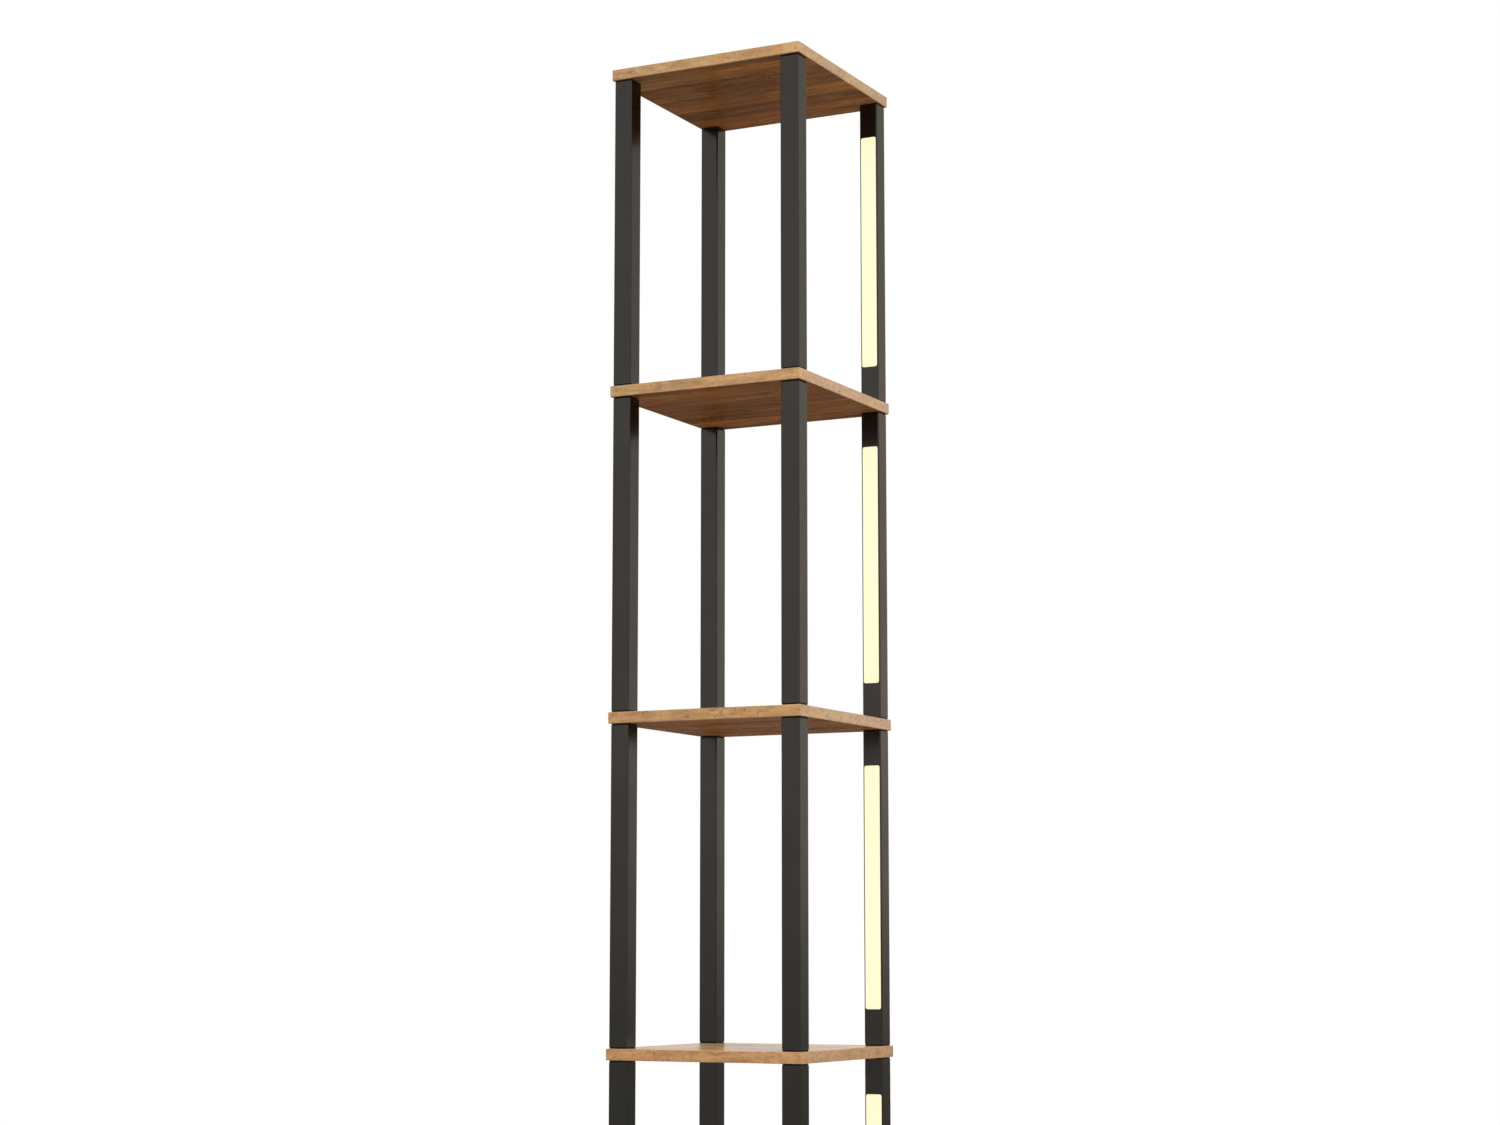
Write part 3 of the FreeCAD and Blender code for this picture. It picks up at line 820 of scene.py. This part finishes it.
def wind_thread(shape, radius, low, high):
    """Winds a ridge round a stem, from one height to another."""
    turns = (high - low) / THREAD_PITCH
    sunk = radius - THREAD_DEPTH * (1 + THREAD_SUNK)
    half_width = THREAD_PITCH * THREAD_HALF_WIDTH
    ridge = ((sunk, -half_width), (radius, 0), (sunk, half_width))
    points = [shape.verts.new((reach, 0, low + rise)) for reach, rise in ridge]
    bmesh.ops.spin(
        shape,
        geom=[shape.faces.new(points)],
        cent=(0, 0, 0),
        axis=(0, 0, 1),
        dvec=(0, 0, THREAD_PITCH / THREAD_STEPS),
        angle=math.tau * turns,
        steps=round(THREAD_STEPS * turns),
    )


# Pieces


def new_object(name, shape):
    mesh = bpy.data.meshes.new(name)
    shape.to_mesh(mesh)
    shape.free()
    made = bpy.data.objects.new(name, mesh)
    scene.collection.objects.link(made)
    return made


def carve(piece, tool_shape, operation="DIFFERENCE"):
    """Takes the tool's space out of the piece, or leaves only that space, for good."""
    tool = new_object("tool", tool_shape)
    carving = piece.modifiers.new("carving", "BOOLEAN")
    carving.operation = operation
    carving.solver = "EXACT"
    carving.object = tool
    bpy.context.view_layer.update()
    carved = piece.evaluated_get(bpy.context.evaluated_depsgraph_get())
    result = bpy.data.meshes.new_from_object(carved)
    piece.modifiers.clear()
    piece.data = result
    bpy.data.objects.remove(tool)


def ease_rims(piece):
    """Rounds the sharp rims of a tube's ends and openings."""
    easing = piece.modifiers.new("rims", "BEVEL")
    easing.width = POST_RIM_ROUND
    easing.segments = POST_RIM_STEPS
    easing.limit_method = "ANGLE"
    easing.angle_limit = POST_RIM_ANGLE


def even_shading(piece):
    """Shades rounded edges smoothly and leaves the flats flat."""
    for face in piece.data.polygons:
        face.use_smooth = True
    piece.modifiers.new("even_shading", "WEIGHTED_NORMAL").keep_sharp = True


def dress(piece, body, node):
    """Gives a piece the finish of the CAD node that it stands for, and ties it to the body it rides on."""
    piece.data.materials.clear()
    piece.data.materials.append(finishes[slot_of[node]])
    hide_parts(node)
    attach(piece, body)


def make_board(node, bore, bore_depth, lead_hole=False):
    """An oak board with eased edges, bored from below over each post and for the lead."""
    low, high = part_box(node)
    shape = box_shape(low, high)
    soften(shape, shape.edges[:], BOARD_EDGE_ROUND, BOARD_EDGE_STEPS)
    board = new_object(f"oak_{node}", shape)
    for middle in post_middles.values():
        carve(board, rod_shape((middle.x, middle.y, low.z), bore / 2, 2 * bore_depth))
    if lead_hole:
        lead_low, lead_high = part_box("jumper_lead_1")
        lead_middle = (lead_low + lead_high) / 2
        lead_middle.z = low.z
        carve(board, rod_shape(lead_middle, LEAD_BORE / 2, 2 * bore_depth))
    even_shading(board)
    dress(board, TOWER, node)


def make_post(node, section=None):
    """A tube. One of the lit post has its section's window, and the lowest also the inlet's hole."""
    low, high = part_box(node)
    post = new_object(f"tube_{node}", tube_shape(low, high))
    if section:
        carve(post, window_shape(low, section))
    if node == LOWEST_LIGHT_POST:
        carve(post, rod_shape(inlet_mouth, INLET_HOLE / 2, 4 * POST_WALL, FACING_BACK))
    ease_rims(post)
    even_shading(post)
    dress(post, TOWER, node)


def make_foot(corner):
    """A levelling foot: a moulded pad with a hollow sole, and a threaded stem."""
    low, high = feet[corner]
    rim = (high.x - low.x) / 2
    hollow = rim - FOOT_HOLLOW_RIM
    core = STEM_RADIUS - THREAD_DEPTH
    stem_top = high.z - low.z
    outline = (
        (0, FOOT_HOLLOW),
        (hollow, FOOT_HOLLOW),
        (hollow + FOOT_HOLLOW, 0),
        (rim - FOOT_LOWER_ROUND, 0),
        (rim - FOOT_LOWER_ROUND * ROUND_MIDDLE, FOOT_LOWER_ROUND * ROUND_MIDDLE),
        (rim, FOOT_LOWER_ROUND),
        (rim, FOOT_HEIGHT - FOOT_BEVEL),
        (rim - FOOT_BEVEL * ROUND_NEAR, FOOT_HEIGHT - FOOT_BEVEL * ROUND_FAR),
        (rim - FOOT_BEVEL * ROUND_FAR, FOOT_HEIGHT - FOOT_BEVEL * ROUND_NEAR),
        (rim - FOOT_BEVEL, FOOT_HEIGHT),
        (FOOT_COLLAR + FOOT_DISH, FOOT_HEIGHT - FOOT_DISH),
        (FOOT_COLLAR, FOOT_HEIGHT),
        (core, FOOT_HEIGHT),
        (core, stem_top - THREAD_DEPTH),
        (core - THREAD_DEPTH, stem_top),
        (0, stem_top),
    )
    shape = lathe_shape(outline)
    wind_thread(shape, STEM_RADIUS, FOOT_HEIGHT + THREAD_PITCH, stem_top - THREAD_PITCH)
    bmesh.ops.recalc_face_normals(shape, faces=shape.faces[:])
    middle = post_middles[corner]
    bmesh.ops.translate(shape, vec=(middle.x, middle.y, low.z), verts=shape.verts[:])
    foot = new_object(f"levelling_foot_{corner}", shape)
    even_shading(foot)
    dress(foot, f"{corner}_foot", f"foot_{corner}")


def make_lock_nuts():
    """Hexagon nuts with turned chamfers, one on each foot's stem."""
    low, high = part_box("foot_lock_nuts")
    height = high.z - low.z
    corner_radius = high.x - post_middles[LIT_CORNER].x
    face_radius = NUT_FACE_SHARE * corner_radius * math.cos(math.pi / 6)
    clear_radius = NUT_CORNER_CLEAR * corner_radius
    hexagon = bmesh.new()
    bmesh.ops.create_cone(
        hexagon,
        cap_ends=True,
        segments=6,
        radius1=corner_radius,
        radius2=corner_radius,
        depth=height,
        matrix=Matrix.Translation((0, 0, height / 2)) @ Matrix.Rotation(math.pi / 6, 4, "Z"),
    )
    nuts = new_object("lock_nuts", hexagon)
    turned = (
        (0, 0),
        (face_radius, 0),
        (clear_radius, NUT_CHAMFER),
        (clear_radius, height - NUT_CHAMFER),
        (face_radius, height),
        (0, height),
    )
    carve(nuts, lathe_shape(turned), "INTERSECT")
    carve(nuts, rod_shape((0, 0, height / 2), NUT_BORE / 2, 2 * height))
    shape = bmesh.new()
    shape.from_mesh(nuts.data)
    bmesh.ops.remove_doubles(shape, verts=shape.verts[:], dist=SAME_PLACE)
    first = shape.verts[:] + shape.edges[:] + shape.faces[:]
    for middle in post_middles.values():
        copied = bmesh.ops.duplicate(shape, geom=first)["geom"]
        bmesh.ops.translate(shape, vec=(middle.x, middle.y, low.z), verts=points_of(copied))
    bmesh.ops.delete(shape, geom=points_of(first))
    shape.to_mesh(nuts.data)
    shape.free()
    dress(nuts, TOWER, "foot_lock_nuts")


def make_inlet():
    """The power socket: a rounded rim, its barrel, and a bore with a centre pin."""
    rim, barrel, bore, pin = INLET_RIM / 2, INLET_BARREL / 2, INLET_BORE / 2, INLET_PIN / 2
    bore_floor = INLET_RIM_RISE - INLET_BORE_DEPTH
    pin_top = bore_floor + INLET_PIN_LENGTH
    outline = (
        (0, -INLET_DEPTH),
        (barrel, -INLET_DEPTH),
        (barrel, 0),
        (rim, 0),
        (rim, INLET_RIM_RISE - INLET_ROUND),
        (rim - INLET_ROUND * ROUND_MIDDLE, INLET_RIM_RISE - INLET_ROUND * ROUND_MIDDLE),
        (rim - INLET_ROUND, INLET_RIM_RISE),
        (bore + INLET_ROUND, INLET_RIM_RISE),
        (bore, INLET_RIM_RISE - INLET_ROUND),
        (bore, bore_floor),
        (pin, bore_floor),
        (pin, pin_top - INLET_ROUND),
        (pin - INLET_ROUND, pin_top),
        (0, pin_top),
    )
    shape = lathe_shape(outline)
    seat = Matrix.Translation(inlet_mouth) @ FACING_BACK
    bmesh.ops.transform(shape, matrix=seat, verts=shape.verts[:])
    inlet = new_object("power_socket", shape)
    even_shading(inlet)
    dress(inlet, TOWER, "power_inlet")


make_board("top_shelf", INSERT_BORE, INSERT_DEPTH)
for level in MIDDLE_BOARDS:
    make_board(f"shelf_{level}", BOARD_BORE, 2 * board_depth, lead_hole=True)
make_board("bottom_shelf", BOARD_BORE, 2 * board_depth)
for section in SECTIONS:
    for corner in PLAIN_CORNERS:
        make_post(f"post_{corner}_{section}")
    make_post(f"light_post_{section}", section)
for corner in CORNERS:
    make_foot(corner)
make_lock_nuts()
make_inlet()


# Stage and light


FLOOR_RADIUS = 2.4
FLOOR_STEPS = 96
FLOOR_FADE = (0.97 * FLOOR_RADIUS, 0.40 * FLOOR_RADIUS)
FLOOR_COLOUR = (0.80, 0.80, 0.79, 1)
FLOOR_CLOUDY = (0.78, 0.78, 0.77, 1)
FLOOR_CLOUD_SCALE = 2.0
FLOOR_BOUNCE = (0.45, 0.242, 0.130, 1)

# Light from the surround; a direction's height is the sine of its angle above the horizon
SKY_LIGHT = 0.90
GROUND_LIGHT = 0.086 * SKY_LIGHT
LIGHT_HORIZON = (0.0, 0.04)

# The surround as mirrors see it, with parts that differ behind the tower's left and its right
SKY_SEEN = 0.96
SKY_SEEN_BACK = 0.04
SKY_DIM_BEHIND = 0.14
OVERHEAD = (0.0, 0.5)
OVERHEAD_DIM = 0.24
OVERHEAD_DIM_BACK = 0.25
GROUND_SEEN = 0.42
GROUND_SEEN_RIGHT = 0.6 * GROUND_SEEN
HIDDEN_SHARE = 0.05
SECOND_MIRROR = 1.5
FLOOR_SEEN = 0.85
STEEPLY_DOWN = (-0.12, -0.30)
HORIZON = (-0.05, 0.05)
HORIZON_BEHIND = (0.0, 0.03)
BACK_LEFT = (-0.707, 0.707, 0.0)
BACK_LEFT_SECTOR = (0.42, 0.68)
BACK_RIGHT = (0.45, 0.89, 0.0)
BACK_RIGHT_SECTOR = (0.2, 0.9)
WHITE = (1, 1, 1, 1)

# Lamps, with each softbox's turn from the front in degrees and its power in watts
SOFTBOXES = {"front_right_softbox": (50, 140), "back_left_softbox": (230, 120)}
SOFTBOX_WIDTH = 2.0
SOFTBOX_HEIGHT = 2.6
SOFTBOX_AWAY = 3.5
SOFTBOX_RISE = 2.4
PANEL_LIGHT = 0.06
PANEL_WARMTH = (1.0, 0.72, 0.52)


def sees_surround(tree, rays):
    """A mask of the camera, mirror and glass rays, which see the white surround."""
    shown = calc(tree, "MAXIMUM", rays["Is Camera Ray"], rays["Is Glossy Ray"])
    return calc(tree, "MAXIMUM", shown, rays["Is Transmission Ray"])


def make_floor():
    """A pale floor that fades out at its rim and throws only a little warm light back up."""
    shape = bmesh.new()
    bmesh.ops.create_circle(shape, cap_ends=True, segments=FLOOR_STEPS, radius=FLOOR_RADIUS)
    floor = new_object("floor", shape)
    material, tree, shader = new_material("pale_floor", Roughness=0.9, Specular_IOR_Level=0.1)
    place = object_place(tree)
    x, y, _ = split(tree, place)
    reach = calc(tree, "SQRT", plus(tree, times(tree, y, y), x, x))
    cloud = place_group(tree, mottle, {"Place": place, "Cloud Scale": FLOOR_CLOUD_SCALE})["Cloud"]
    pale = blend(tree, cloud, FLOOR_COLOUR, FLOOR_CLOUDY)
    shown = sees_surround(tree, add(tree, "ShaderNodeLightPath").outputs)
    tree.links.new(blend(tree, shown, FLOOR_BOUNCE, pale), shader["Base Color"])
    tree.links.new(span(tree, reach, *FLOOR_FADE), shader["Alpha"])
    floor.data.materials.append(material)


def sky_in_mirrors(tree, back, up, behind):
    """The sky, dimmer overhead and behind the tower's left."""
    level = plus(tree, plus(tree, SKY_SEEN, back, SKY_SEEN_BACK), behind, -SKY_DIM_BEHIND)
    dimming = plus(tree, OVERHEAD_DIM, back, OVERHEAD_DIM_BACK)
    return calc(tree, "SUBTRACT", level, times(tree, span(tree, up, *OVERHEAD), dimming))


def ground_in_mirrors(tree, direction, up, behind, mirrored_twice):
    """A dark far ground and a pale floor below it, both hidden behind the left and in a second mirror."""
    back_right = vector_calc(tree, "DOT_PRODUCT", direction, BACK_RIGHT)
    far_ground = span(tree, back_right, *BACK_RIGHT_SECTOR, GROUND_SEEN, GROUND_SEEN_RIGHT)
    ground = mixed(tree, span(tree, up, *STEEPLY_DOWN), far_ground, FLOOR_SEEN)
    ground = times(tree, ground, mixed(tree, behind, 1.0, HIDDEN_SHARE))
    return times(tree, ground, mixed(tree, mirrored_twice, 1.0, HIDDEN_SHARE))


def make_world():
    """A white surround that lights the tower evenly from above, and little from below."""
    world = bpy.data.worlds.new("white_surround")
    world.use_nodes = True
    scene.world = world
    tree = world.node_tree
    tree.nodes.clear()
    rays = add(tree, "ShaderNodeLightPath").outputs
    mirrored_twice = calc(tree, "GREATER_THAN", rays["Glossy Depth"], SECOND_MIRROR)
    direction = add(tree, "ShaderNodeTexCoord").outputs["Generated"]
    _, back, up = split(tree, direction)
    behind = span(tree, vector_calc(tree, "DOT_PRODUCT", direction, BACK_LEFT), *BACK_LEFT_SECTOR)
    sky = sky_in_mirrors(tree, back, up, behind)
    ground = ground_in_mirrors(tree, direction, up, behind, mirrored_twice)
    below, above = (mixed(tree, behind, *heights) for heights in zip(HORIZON, HORIZON_BEHIND))
    mirrored = mixed(tree, span(tree, up, below, above), ground, sky)
    seen = calc(tree, "MAXIMUM", rays["Is Camera Ray"], mirrored)
    light = span(tree, up, *LIGHT_HORIZON, GROUND_LIGHT, SKY_LIGHT)
    lighting = add(tree, "ShaderNodeBackground", {"Color": WHITE, "Strength": light}).outputs[0]
    backdrop = add(tree, "ShaderNodeBackground", {"Color": WHITE, "Strength": seen}).outputs[0]
    surface = add(tree, "ShaderNodeMixShader", {0: sees_surround(tree, rays), 1: lighting, 2: backdrop})
    add(tree, "ShaderNodeOutputWorld", {"Surface": surface.outputs[0]})


def add_lamp(name, width, height, power, place, turn):
    """A soft rectangular lamp that neither the camera nor a mirror sees."""
    light = bpy.data.lights.new(name, "AREA")
    light.shape = "RECTANGLE"
    light.size = width
    light.size_y = height
    light.energy = power
    lamp = bpy.data.objects.new(name, light)
    lamp.location = place
    lamp.rotation_euler = turn
    lamp.visible_camera = False
    lamp.visible_glossy = False
    scene.collection.objects.link(lamp)
    return light


def make_softbox(name, turn, power):
    """A studio lamp that stands at a turn from the tower's front and points at its middle."""
    angle = math.radians(turn)
    place = Vector((math.sin(angle) * SOFTBOX_AWAY, -math.cos(angle) * SOFTBOX_AWAY, SOFTBOX_RISE))
    aim = (Vector((0, 0, tower_top / 2)) - place).to_track_quat("-Z", "Y").to_euler()
    add_lamp(name, SOFTBOX_WIDTH, SOFTBOX_HEIGHT, power, place, aim)


def make_panel_light(section):
    """The light that a glowing panel throws forward on the boards and posts near it."""
    low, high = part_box(f"diffuser_{section}")
    place = ((low.x + high.x) / 2, low.y - POST_WALL, (low.z + high.z) / 2)
    length = high.z - low.z - 2 * PANEL_TAB
    forward = (-math.pi / 2, 0, 0)
    light = add_lamp(f"panel_light_{section}", high.x - low.x, length, PANEL_LIGHT, place, forward)
    light.color = PANEL_WARMTH


make_floor()
make_world()
for section in SECTIONS:
    make_panel_light(section)
for name, (turn, power) in SOFTBOXES.items():
    make_softbox(name, turn, power)


# Camera, at the photograph's viewing angle


IMAGE_WIDTH = 1500
SENSOR_WIDTH = 36.0
FOCAL_PIXELS = 2839.2
CAMERA_YAW = math.radians(26.947)
CAMERA_TILT = math.radians(7.786)
CAMERA_DISTANCE = 4.03633
CAMERA_ASIDE = -0.002587
CAMERA_BELOW_TOP = 1.26117

camera_data = bpy.data.cameras.new("camera")
camera_data.sensor_width = SENSOR_WIDTH
camera_data.lens = FOCAL_PIXELS / IMAGE_WIDTH * SENSOR_WIDTH
camera = bpy.data.objects.new("camera", camera_data)
camera.location = (
    CAMERA_DISTANCE * math.sin(CAMERA_YAW) + CAMERA_ASIDE * math.cos(CAMERA_YAW),
    CAMERA_ASIDE * math.sin(CAMERA_YAW) - CAMERA_DISTANCE * math.cos(CAMERA_YAW),
    tower_top - CAMERA_BELOW_TOP,
)
camera.rotation_euler = (math.pi / 2 + CAMERA_TILT, 0, CAMERA_YAW)
scene.collection.objects.link(camera)
scene.camera = camera

bpy.context.view_layer.update()
